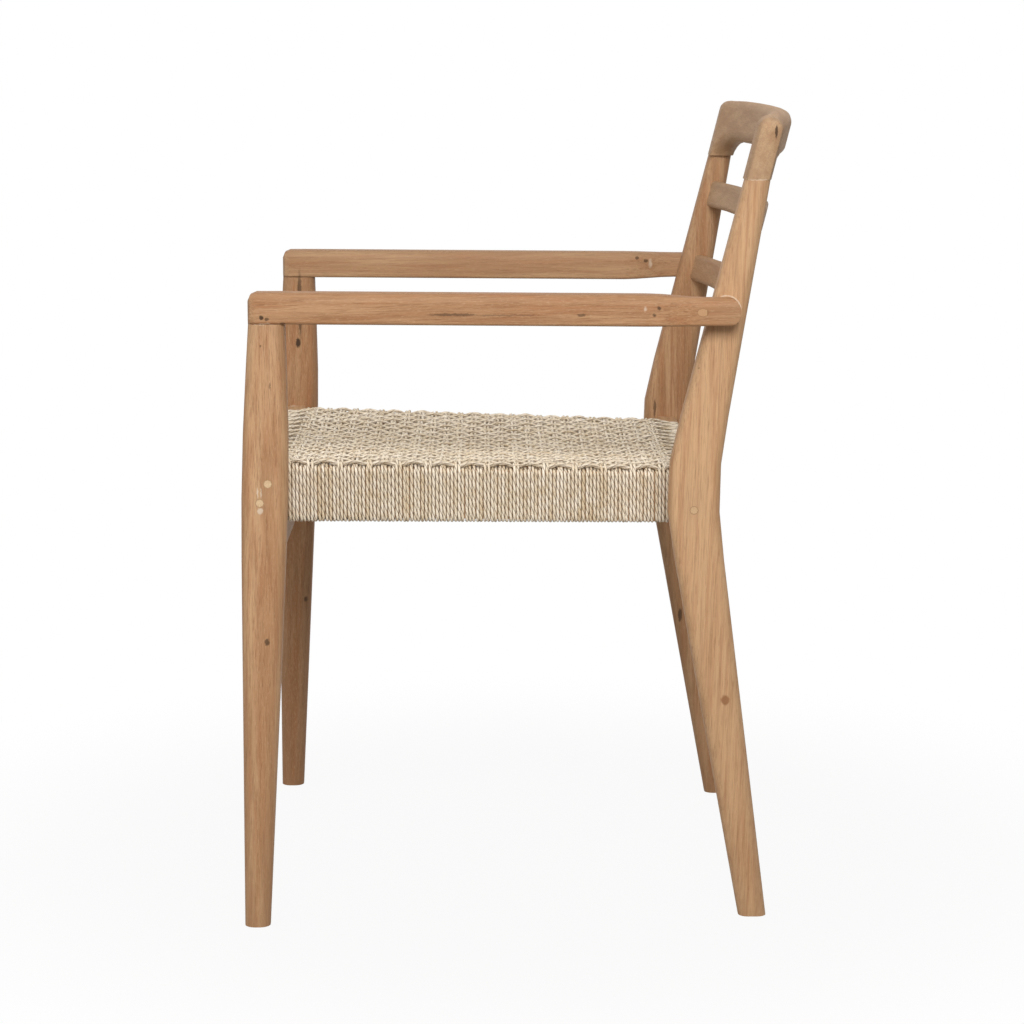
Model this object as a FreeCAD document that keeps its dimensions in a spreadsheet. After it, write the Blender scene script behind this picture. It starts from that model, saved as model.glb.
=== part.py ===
# Garden armchair: a solid wood frame with a woven cord seat.
# Millimetres, +Z up. The front faces -Y, the sitter's left is +X,
# and the origin is on the floor under the middle of the chair.

import FreeCAD, Part
import math
import os
import Sketcher

doc = FreeCAD.newDocument("garden_armchair")
dims = doc.addObject("Spreadsheet::Sheet", "dims")

# Driving dimensions: name, value, meaning. Slopes are in millimetres per millimetre.
SIZES = (
    ("front_y", -282.2, "front face of the front legs at the seat"),
    ("seat_reach", 446, "front face to the middle of the back legs at the seat"),
    ("seat_height", 457, "top of the front seat rail"),
    ("seat_fall", 10, "fall of the seat from front to back"),
    ("arm_rise", 178.5, "top of the arms at the front above the seat"),
    ("arm_fall", 4, "fall of the arms from front to back"),
    ("crest_joint_rise", 109.5, "joint of the posts and the crest rail above the arms"),
    ("crest_rise", 61.5, "top of the crest rail above that joint"),
    ("front_foot_x", 275, "middle of the front feet from the middle of the chair"),
    ("front_top_x", 254, "middle of the front legs under the arms"),
    ("front_leg_depth", 45.5, "front leg front to back at its thickest"),
    ("front_leg_width", 35, "front leg across at its thickest"),
    ("front_bend_rise", 8, "where the front leg is thickest, above the seat"),
    ("front_bend_length", 60, "softness of the front leg's bend"),
    ("front_level_step", 40, "spacing of the front leg's sections about its bend"),
    ("front_taper_low", 0.052, "taper of the front leg towards the floor"),
    ("front_taper_high", 0.095, "taper of the front leg towards the arm"),
    ("front_narrowing", 0.019, "taper of the front leg across towards the floor"),
    ("front_lean", 0.065, "lean of the front leg's face above the seat"),
    ("leg_corner", 11, "corner radius of the front legs"),
    ("back_leg_x", 240, "middle of the back legs from the middle of the chair"),
    ("back_leg_depth", 51.5, "back leg front to back at the seat"),
    ("back_leg_width", 32.5, "back leg across at the seat"),
    ("back_bend_drop", 17, "where the back leg bends, below the seat"),
    ("back_bend_length", 30, "softness of the back leg's bend"),
    ("back_rake_low", 0.16, "slope of the back leg below the seat"),
    ("back_rake_high", 0.213, "slope of the post above the seat"),
    ("back_taper_low", 0.0585, "taper of the back leg towards the floor"),
    ("back_taper_high", 0.095, "taper of the post towards the crest rail"),
    ("back_narrowing", 0.014, "taper of the back leg across towards the floor"),
    ("post_corner", 9.5, "corner radius of the back legs and posts"),
    ("back_lean", 14, "lean of the crest rail and the slats in degrees"),
    ("crest_depth", 43.5, "crest rail top to bottom"),
    ("crest_thickness", 25, "crest rail front to back"),
    ("crest_bow", 27, "how far the crest rail bows backwards"),
    ("crest_shoulder", 2, "how far the crest rail's ends drop"),
    ("crest_cove", 55, "length of the cove between an ear and the rail"),
    ("crest_spare", 4, "spare length below the ears' joint, cut off square"),
    ("crest_edge", 11, "rounding of the crest rail's edges"),
    ("crest_end_edge", 8, "rounding of the crest rail's ends"),
    ("slat_depth", 30, "back slats top to bottom"),
    ("slat_thickness", 16, "back slats front to back"),
    ("slat_bow", 24, "how far the back slats bow backwards"),
    ("slat_setback", 4.5, "slats behind the middle of the posts"),
    ("slat_tenon_length", 14, "depth of the slats' tenons in the posts"),
    ("slat_tenon_depth", 18, "slats' tenons top to bottom"),
    ("slat_tenon_thickness", 5, "slats' tenons front to back"),
    ("slat_edge", 5, "rounding of the slats' edges"),
    ("upper_slat_drop", 44.5, "middle of the upper slat below the crest rail's joint"),
    ("slat_pitch", 83.5, "middle of the upper slat to the middle of the lower one"),
    ("arm_thickness", 30.5, "arm top to bottom at the front"),
    ("arm_width", 35, "arm across"),
    ("arm_end_thickness", 27, "arm top to bottom at the post"),
    ("arm_end_width", 28, "arm across at the post"),
    ("arm_let_in", 4, "how far the arm is let over the post's side"),
    ("arm_overhang", 10, "arm tip behind the middle of the post"),
    ("arm_lap", 23, "start of the arm's lap in front of the post's middle"),
    ("arm_bend", 58, "length of the arm's outward bend"),
    ("arm_edge", 9, "rounding of the arm's edges"),
    ("arm_front_edge", 8, "rounding of the arm's front end"),
    ("arm_low_edge", 3, "rounding of the arm's lower edges"),
    ("rail_depth", 50, "front and back seat rails top to bottom"),
    ("rail_thickness", 26, "front and back seat rails front to back"),
    ("rail_edge", 7, "rounding of the seat rails' edges"),
    ("tenon_length", 20, "depth of the rails' tenons in the legs"),
    ("weave_front_x", 203, "half width of the woven seat at the front"),
    ("weave_back_x", 178, "half width of the woven seat at the back"),
    ("side_rail_thickness", 22, "side seat rails across"),
    ("side_wall_depth", 57, "wound side of the seat top to bottom"),
    ("side_tenon_length", 9, "depth of the side rails' tenons"),
    ("side_tenon_width", 10, "side rails' tenons across"),
    ("side_tenon_depth", 24, "side rails' tenons top to bottom"),
    ("cord", 3.5, "diameter of the seat cord"),
    ("cord_gap", 0.3, "gap between the cord and its neighbours"),
    ("weave_open", 0.55, "open share of each field of the woven top, each way"),
    ("apron_gap", 10, "gap between the front seat rail and the front apron"),
    ("apron_depth", 43, "front apron top to bottom"),
    ("apron_thickness", 22, "front apron front to back"),
    ("apron_edge", 3, "rounding of the apron's edges"),
    ("apron_tenon_thickness", 12, "apron's tenons front to back"),
    ("apron_tenon_depth", 30, "apron's tenons top to bottom"),
    ("peg_diameter", 9, "eight-sided wooden pegs"),
    ("peg_length", 46, "length of the pegs"),
    ("front_peg_drop", 18, "mean depth of the front pegs below the rail's top"),
    ("front_peg_pitch", 19, "height between the two front pegs"),
    ("front_peg_stagger", 8, "front to back offset of the two front pegs"),
    ("back_peg_drop", 28, "depth of the back peg below the rail's top"),
    ("arm_peg_lead", 28, "arm peg's outer end in front of the post's middle"),
    ("arm_peg_angle", 48, "slant of the arm peg in degrees"),
    ("loose_tenon_length", 36, "loose tenons top to bottom"),
    ("loose_tenon_width", 18, "loose tenons across the joint"),
    ("loose_tenon_thickness", 10, "loose tenons the other way"),
)

for row, (alias, value, meaning) in enumerate(SIZES, start=1):
    dims.set(f"A{row}", meaning)
    dims.set(f"B{row}", str(value))
    dims.setAlias(f"B{row}", alias)
doc.recompute()

SIDES = (("left", 1), ("right", -1))


# Places worked out from the driving dimensions, as expressions.

def bent(place, middle, softness, low, high):
    """Offset of a line that turns softly from one slope to another about a middle place."""
    reach = f"({place} - {middle})"
    return (f"((({high}) - ({low})) / 2 * {reach}"
            f" + (({high}) + ({low})) / 2 * (sqrt({reach} ^ 2 + {softness} ^ 2) - {softness}))")


def along_front_leg(z, low, high):
    return bent(z, FRONT_BEND_Z, "dims.front_bend_length", low, high)


def along_back_leg(z, low, high):
    return bent(z, BACK_BEND_Z, "dims.back_bend_length", low, high)


def front_leg_x(z):
    return f"(dims.front_foot_x + (dims.front_top_x - dims.front_foot_x) * {z} / {ARM_UNDER})"


def front_leg_width(z):
    return f"(dims.front_leg_width - {along_front_leg(z, 'dims.front_narrowing', '0')})"


def front_leg_depth(z):
    return f"(dims.front_leg_depth - {along_front_leg(z, 'dims.front_taper_low', 'dims.front_taper_high')})"


def front_leg_face(z):
    return f"(dims.front_y + {along_front_leg(z, '0', 'dims.front_lean')})"


def back_leg_y(z):
    return f"({BACK_Y} + {along_back_leg(z, 'dims.back_rake_low', 'dims.back_rake_high')})"


def back_leg_width(z):
    return f"(dims.back_leg_width - {along_back_leg(z, 'dims.back_narrowing', '0')})"


def back_leg_depth(z):
    return f"(dims.back_leg_depth - {along_back_leg(z, 'dims.back_taper_low', 'dims.back_taper_high')})"


ARM_TOP = "(dims.seat_height + dims.arm_rise)"
ARM_UNDER = f"({ARM_TOP} - dims.arm_thickness)"
CREST_JOINT = f"({ARM_TOP} + dims.crest_joint_rise)"
CREST_TOP = f"({CREST_JOINT} + dims.crest_rise)"
UPPER_SLAT_Z = f"({CREST_JOINT} - dims.upper_slat_drop)"
LOWER_SLAT_Z = f"({UPPER_SLAT_Z} - dims.slat_pitch)"
FRONT_BEND_Z = "(dims.seat_height + dims.front_bend_rise)"
BACK_BEND_Z = "(dims.seat_height - dims.back_bend_drop)"
BACK_Y = "(dims.front_y + dims.seat_reach)"
BACK_SEAT_TOP = "(dims.seat_height - dims.seat_fall)"
FRONT_RAIL_Z = "(dims.seat_height - dims.rail_depth / 2)"
BACK_RAIL_Z = f"({BACK_SEAT_TOP} - dims.rail_depth / 2)"
FRONT_RAIL_Y = f"({front_leg_face(FRONT_RAIL_Z)} + {front_leg_depth(FRONT_RAIL_Z)} / 2)"
BACK_RAIL_Y = back_leg_y(BACK_RAIL_Z)
ARM_FRONT_Y = front_leg_face(ARM_UNDER)
FRONT_TOP_DEPTH = front_leg_depth(ARM_UNDER)
ARM_END_Z = f"({ARM_TOP} - dims.arm_fall - dims.arm_end_thickness / 2)"
POST_AT_ARM_Y = back_leg_y(ARM_END_Z)
POST_AT_ARM_SIDE = f"(dims.back_leg_x + {back_leg_width(ARM_END_Z)} / 2)"
ARM_END_X = f"({POST_AT_ARM_SIDE} - dims.arm_let_in + dims.arm_end_width / 2)"
POST_TOP_Y = back_leg_y(CREST_JOINT)
POST_TOP_WIDTH = back_leg_width(CREST_JOINT)


def blend(start, end, share):
    """Value between two expressions, eased at both ends."""
    eased = share * share * (3 - 2 * share)
    return f"({start} + ({end} - ({start})) * {eased})"


def number(expression):
    """Present value of an expression on the sheet."""
    return float(dims.evalExpression(expression))


def finished(node, feature):
    """Give a finished sub-part its label, which names its file."""
    feature.Label = node
    pieces.append(feature)
    return feature


pieces = []

# Each origin plane's axes, as positions of X, Y and Z and the sign of the plane's normal.
PLANES = {"XY_Plane": (0, 1, 2, 1), "XZ_Plane": (0, 2, 1, -1), "YZ_Plane": (1, 2, 0, 1)}


def section(body, name, plane, centre, size, radii, turn="0"):
    """Rounded rectangle about its own centre; radii are those of the upper and lower corners."""
    sketch = body.newObject("Sketcher::SketchObject", name)
    origin_plane = [feature for feature in body.Origin.OriginFeatures if feature.Role == plane][0]
    sketch.AttachmentSupport = [(origin_plane, "")]
    sketch.MapMode = "FlatFace"
    across, up, normal, sign = PLANES[plane]
    sketch.setExpression("AttachmentOffset.Base.x", centre[across])
    sketch.setExpression("AttachmentOffset.Base.y", centre[up])
    sketch.setExpression("AttachmentOffset.Base.z", f"{sign} * ({centre[normal]})")
    sketch.setExpression("AttachmentOffset.Rotation.Angle", turn)

    half_width = number(size[0]) / 2
    half_height = number(size[1]) / 2
    upper = number(radii[0])
    lower = number(radii[1])
    corners = ((half_width, half_height, upper), (-half_width, half_height, upper),
               (-half_width, -half_height, lower), (half_width, -half_height, lower))
    quarter = math.pi / 2
    vector = FreeCAD.Vector
    for index, (x, y, radius) in enumerate(corners):
        middle = vector(x - radius if x > 0 else x + radius, y - radius if y > 0 else y + radius, 0)
        circle = Part.Circle(middle, vector(0, 0, 1), radius)
        sketch.addGeometry(Part.ArcOfCircle(circle, index * quarter, (index + 1) * quarter))
    for index in range(4):
        start = sketch.Geometry[index].EndPoint
        end = sketch.Geometry[(index + 1) % 4].StartPoint
        sketch.addGeometry(Part.LineSegment(start, end))

    constraint = Sketcher.Constraint
    for index in range(4):
        sketch.addConstraint(constraint("Tangent", index, 2, 4 + index, 1))
        sketch.addConstraint(constraint("Tangent", 4 + index, 2, (index + 1) % 4, 1))
    for line, direction in ((4, "Horizontal"), (6, "Horizontal"), (5, "Vertical"), (7, "Vertical")):
        sketch.addConstraint(constraint(direction, line))
    measures = (("right", "DistanceX", (-1, 1, 7, 1), half_width, f"({size[0]}) / 2"),
                ("left", "DistanceX", (5, 1, -1, 1), half_width, f"({size[0]}) / 2"),
                ("top", "DistanceY", (-1, 1, 4, 1), half_height, f"({size[1]}) / 2"),
                ("bottom", "DistanceY", (6, 1, -1, 1), half_height, f"({size[1]}) / 2"),
                ("corner_a", "Radius", (0,), upper, radii[0]),
                ("corner_b", "Radius", (1,), upper, radii[0]),
                ("corner_c", "Radius", (2,), lower, radii[1]),
                ("corner_d", "Radius", (3,), lower, radii[1]))
    for label, kind, points, value, expression in measures:
        index = sketch.addConstraint(constraint(kind, *points, value))
        sketch.renameConstraint(index, label)
        sketch.setExpression(f"Constraints.{label}", expression)
    return sketch


def lofted(name, plane, sections):
    """Ruled solid through rounded sections, in their order."""
    body = doc.addObject("PartDesign::Body", name)
    sketches = [section(body, f"{name}_{label}", plane, *values) for label, values in sections.items()]
    doc.recompute()
    loft = body.newObject("PartDesign::AdditiveLoft", f"{name}_loft")
    loft.Profile = sketches[0]
    loft.Sections = sketches[1:]
    loft.Ruled = True
    body.Tip = loft
    doc.recompute()
    return body


def block(name, low, high):
    """Box between two corners given as expressions."""
    box = doc.addObject("Part::Box", name)
    for side, start, end in zip(("Length", "Width", "Height"), low, high):
        box.setExpression(side, f"({end}) - ({start})")
    for axis, start in zip("xyz", low):
        box.setExpression(f"Placement.Base.{axis}", start)
    return box


def centred_block(name, centre, half):
    """Box about a middle point, given with its half sizes."""
    low = [f"({middle} - {reach})" for middle, reach in zip(centre, half)]
    high = [f"({middle} + {reach})" for middle, reach in zip(centre, half)]
    return block(name, low, high)


def turned(feature, base, axis, angle="90"):
    """Set an upright feature on a base point, turned about an axis."""
    place = f"vector({base[0]}; {base[1]}; {base[2]})"
    turn = f"rotation(vector({axis[0]}; {axis[1]}; {axis[2]}); {angle})"
    feature.setExpression("Placement", f"placement({place}; {turn})")
    return feature


def rod(name, diameter, length, base, axis):
    """Round bar from a base point along a level direction, which is square to the axis."""
    cylinder = doc.addObject("Part::Cylinder", name)
    cylinder.setExpression("Radius", f"({diameter}) / 2")
    cylinder.setExpression("Height", length)
    return turned(cylinder, base, axis)


def peg(name, length, base, axis):
    """Eight-sided peg from a base point along a level direction, which is square to the axis."""
    prism = doc.addObject("Part::Prism", name)
    prism.Polygon = 8
    prism.setExpression("Circumradius", "dims.peg_diameter / 2")
    prism.setExpression("Height", length)
    return turned(prism, base, axis)


def wedge(name, front, back):
    """Bar along Y between two upright rectangles, each given as y, x low, x high, z low, z high."""
    bar = doc.addObject("Part::Wedge", name)
    names = (("Ymin", "Xmin", "Xmax", "Zmin", "Zmax"), ("Ymax", "X2min", "X2max", "Z2min", "Z2max"))
    for properties, values in zip(names, (front, back)):
        for property_name, value in zip(properties, values):
            bar.setExpression(property_name, value)
    return bar


def joined(name, features):
    """Several solids made one."""
    fusion = doc.addObject("Part::MultiFuse", name)
    fusion.Shapes = features
    return fusion


def grouped(node, features):
    """Several separate solids of one kind in one node."""
    group = doc.addObject("Part::Compound", f"{node}_group")
    group.Links = features
    return finished(node, group)


def cut(name, base, tools):
    """A solid with the shapes of others taken out of it, one after another."""
    result = base
    for index, tool in enumerate(tools):
        stage = doc.addObject("Part::Cut", f"{name}_cut_{index}")
        stage.Base = result
        stage.Tool = tool
        stage.Refine = False
        result = stage
    return result


def shared(name, base, tool):
    """What two solids have in common."""
    result = doc.addObject("Part::Common", name)
    result.Base = base
    result.Tool = tool
    return result


# Leg blanks: lofts through level sections, close together where the leg bends.

BEND_STEPS = (-2.4, -0.8, 0.8, 2.4)


def leg_levels(middle, spacing, top):
    """Heights of the sections of a leg, from the floor to its top."""
    return ["0"] + [f"({middle} + {step} * {spacing})" for step in BEND_STEPS] + [top]


def front_leg_blank(name, side):
    sections = {}
    levels = leg_levels(FRONT_BEND_Z, "dims.front_level_step", ARM_UNDER)
    for level, z in enumerate(levels):
        centre = (f"{side} * {front_leg_x(z)}", f"({front_leg_face(z)} + {front_leg_depth(z)} / 2)", z)
        size = (front_leg_width(z), front_leg_depth(z))
        sections[f"level_{level}"] = (centre, size, ("dims.leg_corner", "dims.leg_corner"))
    return lofted(name, "XY_Plane", sections)


def back_leg_blank(name, side):
    sections = {}
    levels = leg_levels(BACK_BEND_Z, "dims.back_bend_length", CREST_JOINT)
    for level, z in enumerate(levels):
        centre = (f"{side} * dims.back_leg_x", back_leg_y(z), z)
        size = (back_leg_width(z), back_leg_depth(z))
        sections[f"level_{level}"] = (centre, size, ("dims.post_corner", "dims.post_corner"))
    return lofted(name, "XY_Plane", sections)


front_blanks = {end: front_leg_blank(f"front_leg_{end}_blank", side) for end, side in SIDES}
back_blanks = {end: back_leg_blank(f"back_leg_{end}_blank", side) for end, side in SIDES}


# Arms: a bar that sits on the front leg, bends outwards and laps the post.

EASED_SHARES = (0.0, 0.25, 0.5, 0.75, 1.0)
END_TURNS = (0, 45, 90)


def arm_blank(name, side):
    lap_y = f"({POST_AT_ARM_Y} - dims.arm_lap)"
    bend_y = f"({lap_y} - dims.arm_bend)"
    joint_y = f"({ARM_FRONT_Y} + {FRONT_TOP_DEPTH})"
    front_z = f"({ARM_TOP} - dims.arm_thickness / 2)"
    bend_z = f"({front_z} - dims.arm_fall / 2)"
    front_x = f"{side} * dims.front_top_x"
    end_x = f"{side} * {ARM_END_X}"
    full = ("dims.arm_width", "dims.arm_thickness")
    end = ("dims.arm_end_width", "dims.arm_end_thickness")
    edges = ("dims.arm_edge", "dims.arm_low_edge")
    sections = {}
    for turn in reversed(END_TURNS):
        inset = f"(dims.arm_front_edge * (1 - cos({turn} deg)))"
        y = f"({ARM_FRONT_Y} + dims.arm_front_edge * (1 - sin({turn} deg)))"
        size = (f"(dims.arm_width - 2 * {inset})", f"(dims.arm_thickness - {inset})")
        radii = (f"(dims.arm_edge - {inset})", "dims.arm_low_edge")
        sections[f"front_{turn}"] = ((front_x, y, f"({front_z} - {inset} / 2)"), size, radii)
    sections["joint"] = ((front_x, joint_y, front_z), full, edges)
    for share in EASED_SHARES:
        centre = (blend(front_x, end_x, share), f"({bend_y} + dims.arm_bend * {share})",
                  blend(bend_z, ARM_END_Z, share))
        size = tuple(blend(start, finish, share) for start, finish in zip(full, end))
        sections[f"bend_{int(share * 100)}"] = (centre, size, edges)
    sections["tip"] = ((end_x, f"({POST_AT_ARM_Y} + dims.arm_overhang)", ARM_END_Z), end, edges)
    return lofted(name, "XZ_Plane", sections)


def arm_tip_waste(name, side):
    """What is cut off a square arm end to leave it fully rounded in side view."""
    radius = "(dims.arm_end_thickness / 2 + dims.cord_gap)"
    start_y = f"({POST_AT_ARM_Y} + dims.arm_overhang - {radius})"
    inner = f"({side} * {ARM_END_X} - dims.arm_end_width)"
    box = block(f"{name}_box", (inner, start_y, f"({ARM_END_Z} - dims.arm_end_thickness)"),
                (f"({inner} + 2 * dims.arm_end_width)", f"({start_y} + dims.arm_end_thickness)",
                 f"({ARM_END_Z} + dims.arm_end_thickness)"))
    nose = rod(f"{name}_nose", f"2 * {radius}", "2 * dims.arm_end_width",
               (inner, start_y, ARM_END_Z), ("0", "1", "0"))
    return cut(name, box, [nose])


arm_blanks = {end: arm_blank(f"armrest_{end}_blank", side) for end, side in SIDES}


# Back: crest rail with two ears, and two bowed slats.

BOW_STEPS = 3
COVE_SHARES = (0.5, 0.75, 0.9, 1.0)


def lean_shift(height):
    return f"(tan(dims.back_lean * 1 deg) * ({height}))"


def crest_blank(name):
    inner_x = f"(dims.back_leg_x - {POST_TOP_WIDTH} / 2)"
    outer_x = f"(dims.back_leg_x + {POST_TOP_WIDTH} / 2)"
    cove_x = f"({inner_x} - dims.crest_cove)"
    bar_low = f"({CREST_TOP} - dims.crest_depth)"
    ear_low = f"({CREST_JOINT} - dims.crest_edge - dims.crest_spare)"
    end_top = f"({CREST_TOP} - dims.crest_shoulder)"

    def station(x, low, top, bow_x, inset="0"):
        middle = f"(({low} + {top}) / 2)"
        bow = f"dims.crest_bow * (1 - ({bow_x} / {inner_x}) ^ 2)"
        y = f"({POST_TOP_Y} + {lean_shift(f'{middle} - {CREST_JOINT}')} + {bow})"
        size = (f"(dims.crest_thickness - 2 * {inset})",
                f"(({top} - {low}) / cos(dims.back_lean * 1 deg) - 2 * {inset})")
        corner = f"(dims.crest_edge - {inset})"
        return (x, y, middle), size, (corner, corner), "-dims.back_lean"

    def ear(side):
        """Stations from the rail's end through the cove to the outer side of an ear."""
        stations = {}
        for share in COVE_SHARES:
            x = f"({side} * ({cove_x} + dims.crest_cove * {share}))"
            low = f"({bar_low} - ({bar_low} - {ear_low}) * {1 - math.sqrt(1 - share * share)})"
            top = blend(CREST_TOP, f"({CREST_TOP} - dims.crest_shoulder / 2)", share)
            stations[f"cove_{int(share * 100)}_{side + 1}"] = station(x, low, top, x)
        for turn in END_TURNS:
            x = f"({side} * ({outer_x} - dims.crest_end_edge * (1 - sin({turn} deg))))"
            inset = f"(dims.crest_end_edge * (1 - cos({turn} deg)))"
            stations[f"end_{turn}_{side + 1}"] = station(x, ear_low, end_top, inner_x, inset)
        return stations

    sections = dict(reversed(list(ear(-1).items())))
    for part in range(-BOW_STEPS, BOW_STEPS + 1):
        x = f"({part} / {BOW_STEPS} * {cove_x})"
        sections[f"bar_{part + BOW_STEPS}"] = station(x, bar_low, CREST_TOP, x)
    sections.update(ear(1))
    return lofted(name, "YZ_Plane", sections)


def slat(name, height):
    """A bowed slat and its two tenons."""
    end_x = f"(dims.back_leg_x - {back_leg_width(height)} / 2)"
    post_y = f"({back_leg_y(height)} + dims.slat_setback)"
    sections = {}
    for part in range(-BOW_STEPS, BOW_STEPS + 1):
        share = part / BOW_STEPS
        y = f"({post_y} + dims.slat_bow * {1 - share * share})"
        sections[f"station_{part + BOW_STEPS}"] = ((f"({share} * {end_x})", y, height),
                                                   ("dims.slat_thickness", "dims.slat_depth"),
                                                   ("dims.slat_edge", "dims.slat_edge"), "-dims.back_lean")
    half = ("dims.slat_tenon_length / 2", "dims.slat_tenon_thickness / 2", "dims.slat_tenon_depth / 2")
    tenon_x = f"({end_x} + dims.slat_tenon_length / 2)"
    tenons = [centred_block(f"{name}_tenon_{end}", (f"{side} * {tenon_x}", back_leg_y(height), height), half)
              for end, side in SIDES]
    board = lofted(f"{name}_board", "YZ_Plane", sections)
    return joined(name, [board] + tenons), tenons


crest_body = crest_blank("crest_blank")
upper_slat, upper_tenons = slat("upper_slat", UPPER_SLAT_Z)
lower_slat, lower_tenons = slat("lower_slat", LOWER_SLAT_Z)
finished("upper_back_slat", upper_slat)
finished("lower_back_slat", lower_slat)
crest_floor = block("crest_floor", ("-2 * dims.back_leg_x", "0", "0"),
                    ("2 * dims.back_leg_x", "2 * dims.seat_reach", CREST_JOINT))


# Seat frame: front and back rails tenoned into the legs, side rails tenoned into these.

CORE_DEPTH = "(dims.rail_depth - 2 * dims.cord)"
CORE_THICKNESS = "(dims.rail_thickness - 2 * dims.cord)"
FRONT_TENON_X = f"({front_leg_x(FRONT_RAIL_Z)} - {front_leg_width(FRONT_RAIL_Z)} / 2 + dims.tenon_length)"
BACK_TENON_X = f"(dims.back_leg_x - {back_leg_width(BACK_RAIL_Z)} / 2 + dims.tenon_length)"
FRONT_CORE_REAR = f"({FRONT_RAIL_Y} + {CORE_THICKNESS} / 2)"
BACK_CORE_FRONT = f"({BACK_RAIL_Y} - {CORE_THICKNESS} / 2)"
RAIL_EDGES = ("dims.rail_edge", "dims.rail_edge")


def rail_core(name, y, z, tenon_x):
    """The part of a rail under the cord, which runs on into the legs as its tenons."""
    return centred_block(name, ("0", y, z), (tenon_x, f"{CORE_THICKNESS} / 2", f"{CORE_DEPTH} / 2"))


def rail_shoulder(name, side, y, z, start_x, end_x, leg):
    """The bare end of a rail, scribed to the side of its leg."""
    size = ("dims.rail_thickness", "dims.rail_depth")
    blank = lofted(name, "YZ_Plane", {"inner": ((f"{side} * {start_x}", y, z), size, RAIL_EDGES),
                                      "outer": ((f"{side} * {end_x}", y, z), size, RAIL_EDGES)})
    return cut(name, blank, [leg])


def side_bar(name, side, start_y, end_y, grow):
    """A bar along the side of the seat that runs inwards to the back; grow adds the cord all round."""
    inner = f"(dims.cord + dims.side_rail_thickness + {grow})"
    outer = f"(dims.cord - {grow})"

    def rectangle(y):
        share = f"(({y} - {FRONT_CORE_REAR}) / ({BACK_CORE_FRONT} - {FRONT_CORE_REAR}))"
        edge = f"(dims.weave_front_x + (dims.weave_back_x - dims.weave_front_x) * {share})"
        top = f"(dims.seat_height - dims.seat_fall * {share})"
        reach = (f"{side} * ({edge} - {inner})", f"{side} * ({edge} - {outer})")
        low, high = reach if side > 0 else reach[::-1]
        return y, low, high, f"({top} - dims.side_wall_depth + {outer})", f"({top} - {outer})"

    return wedge(name, rectangle(start_y), rectangle(end_y))


front_core = rail_core("front_rail_core", FRONT_RAIL_Y, FRONT_RAIL_Z, FRONT_TENON_X)
back_core = rail_core("back_rail_core", BACK_RAIL_Y, BACK_RAIL_Z, BACK_TENON_X)
front_shoulders = []
back_shoulders = []
side_rails = {}
front_side_tenons = []
back_side_tenons = []
for end, side in SIDES:
    front_shoulders.append(rail_shoulder(f"front_shoulder_{end}", side, FRONT_RAIL_Y, FRONT_RAIL_Z,
                                         "dims.weave_front_x", FRONT_TENON_X, front_blanks[end]))
    back_shoulders.append(rail_shoulder(f"back_shoulder_{end}", side, BACK_RAIL_Y, BACK_RAIL_Z,
                                        "dims.weave_back_x", BACK_TENON_X, back_blanks[end]))
    bar = side_bar(f"side_bar_{end}", side, FRONT_CORE_REAR, BACK_CORE_FRONT, "0")
    tenon_half = ("dims.side_tenon_width / 2", "dims.side_tenon_length", "dims.side_tenon_depth / 2")
    inset = "(dims.cord + dims.side_rail_thickness / 2)"
    front_tenon = centred_block(f"front_tenon_{end}",
                                (f"{side} * (dims.weave_front_x - {inset})", FRONT_CORE_REAR,
                                 "(dims.seat_height - dims.side_wall_depth / 2)"), tenon_half)
    back_tenon = centred_block(f"back_tenon_{end}",
                               (f"{side} * (dims.weave_back_x - {inset})", BACK_CORE_FRONT,
                                f"({BACK_SEAT_TOP} - dims.side_wall_depth / 2)"), tenon_half)
    side_rails[end] = joined(f"side_rail_{end}", [bar, front_tenon, back_tenon])
    finished(f"side_seat_rail_{end}", side_rails[end])
    front_side_tenons.append(front_tenon)
    back_side_tenons.append(back_tenon)

# Front apron: a bare board under the front rail.
APRON_Z = "(dims.seat_height - dims.rail_depth - dims.apron_gap - dims.apron_depth / 2)"
APRON_Y = f"({front_leg_face(APRON_Z)} + {front_leg_depth(APRON_Z)} / 2)"
APRON_X = f"({front_leg_x(APRON_Z)} - {front_leg_width(APRON_Z)} / 2 + dims.tenon_length)"
apron_size = ("dims.apron_thickness", "dims.apron_depth")
apron_edges = ("dims.apron_edge", "dims.apron_edge")
apron_board = lofted("apron_board", "YZ_Plane",
                     {"right": ((f"-{APRON_X}", APRON_Y, APRON_Z), apron_size, apron_edges),
                      "left": ((APRON_X, APRON_Y, APRON_Z), apron_size, apron_edges)})
apron_tenons = centred_block("apron_tenons", ("0", APRON_Y, APRON_Z),
                             (APRON_X, "dims.apron_tenon_thickness / 2", "dims.apron_tenon_depth / 2"))
apron_scribed = cut("apron_scribed", apron_board, list(front_blanks.values()))
finished("front_apron", joined("front_apron_joined", [apron_scribed, apron_tenons]))


# Woven seat: cord wound over the four rails, and the woven panel between them.

def wound(node, outer, inner):
    return finished(node, cut(node, outer, inner))


def rail_winding(name, y, z, half_x):
    return centred_block(name, ("0", y, z), (f"({half_x} - dims.cord_gap)", "dims.rail_thickness / 2",
                                             "dims.rail_depth / 2"))


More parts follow.
